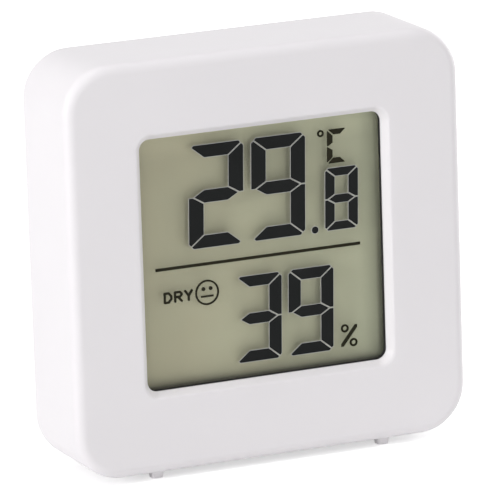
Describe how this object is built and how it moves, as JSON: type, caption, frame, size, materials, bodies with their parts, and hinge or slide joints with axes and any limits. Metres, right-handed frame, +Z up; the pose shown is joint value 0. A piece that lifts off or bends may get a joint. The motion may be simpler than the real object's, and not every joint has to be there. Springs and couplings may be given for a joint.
{
  "type": "temperature humidity sensor",
  "caption": "Small square white room thermometer and hygrometer with a reflective segment display, battery door, fold-out stand and unit button.",
  "frame": {"origin": "middle of the footprint on the table, at the tips of the four feet", "axes": "+Z up, the display faces -Y, +X to the right as seen from the front"},
  "size_m": [0.045, 0.0126, 0.0448],
  "materials": {
    "white_shell": "white moulded plastic with a fine satin grain",
    "grey_button": "grey moulded plastic",
    "black_gasket": "soft black foam",
    "clear_film": "clear film with a faint grey-green tint",
    "clear_glass": "clear glass",
    "cell_seal": "pale resin seal",
    "display_dark": "near-black with a slight blue tint",
    "display_olive": "dark olive",
    "display_reflector": "olive grey-green reflector film",
    "inner_plastic": "plain pale plastic",
    "grey_rubber": "layered conductive rubber",
    "board_green": "green solder mask",
    "black_resin": "black moulded resin",
    "bright_metal": "nickel-plated sheet metal",
    "sensor_case": "pale sensor case",
    "bead_glass": "dark glass bead on tinned leads",
    "tan_ceramic": "tan ceramic",
    "cell_steel": "polished steel can",
    "screw_steel": "plain steel"
  },
  "bodies": {
    "root": {"front_housing": "white_shell", "display_gasket": "black_gasket", "front_polariser": "clear_film", "front_glass": "clear_glass", "cell_seal": "cell_seal", "temperature_digits": "display_dark", "humidity_digits": "display_dark", "unit_symbols": "display_olive", "comfort_word": "display_olive", "comfort_face": "display_olive", "divider_line": "display_olive", "rear_glass": "clear_glass", "rear_polariser": "clear_film", "reflector": "display_reflector", "display_tray": "inner_plastic", "display_connector": "grey_rubber", "circuit_board": "board_green", "controller_chip": "black_resin", "crystal": "bright_metal", "humidity_sensor": "sensor_case", "thermistor": "bead_glass", "capacitors": "tan_ceramic", "resistors": "black_resin", "negative_contact": "bright_metal", "positive_contact": "bright_metal", "coin_cell": "cell_steel", "rear_cover": "white_shell", "stand_pins": "screw_steel", "button_switch": "black_resin", "magnet": "bright_metal", "cover_screws": "screw_steel", "board_screws": "screw_steel"},
    "battery_door": {"battery_door": "white_shell"},
    "fold_out_stand": {"fold_out_stand": "white_shell"},
    "unit_button": {"unit_button": "grey_button", "switch_stem": "inner_plastic"}
  },
  "joints": [
    {"name": "battery_door_hinge", "type": "hinge", "parent": "root", "child": "battery_door", "pos_m": [0, 0.0052, 0.0363], "axis": [1, 0, 0], "range_deg": [0, 90]},
    {"name": "stand_hinge", "type": "hinge", "parent": "root", "child": "fold_out_stand", "pos_m": [0, 0.0054, 0.0258], "axis": [1, 0, 0], "range_deg": [0, 60]},
    {"name": "unit_button_travel", "type": "slide", "parent": "root", "child": "unit_button", "axis": [0, -1, 0], "range_m": [0, 0.0004], "stiffness_N_per_m": 400, "springref_m": -0.0003}
  ]
}
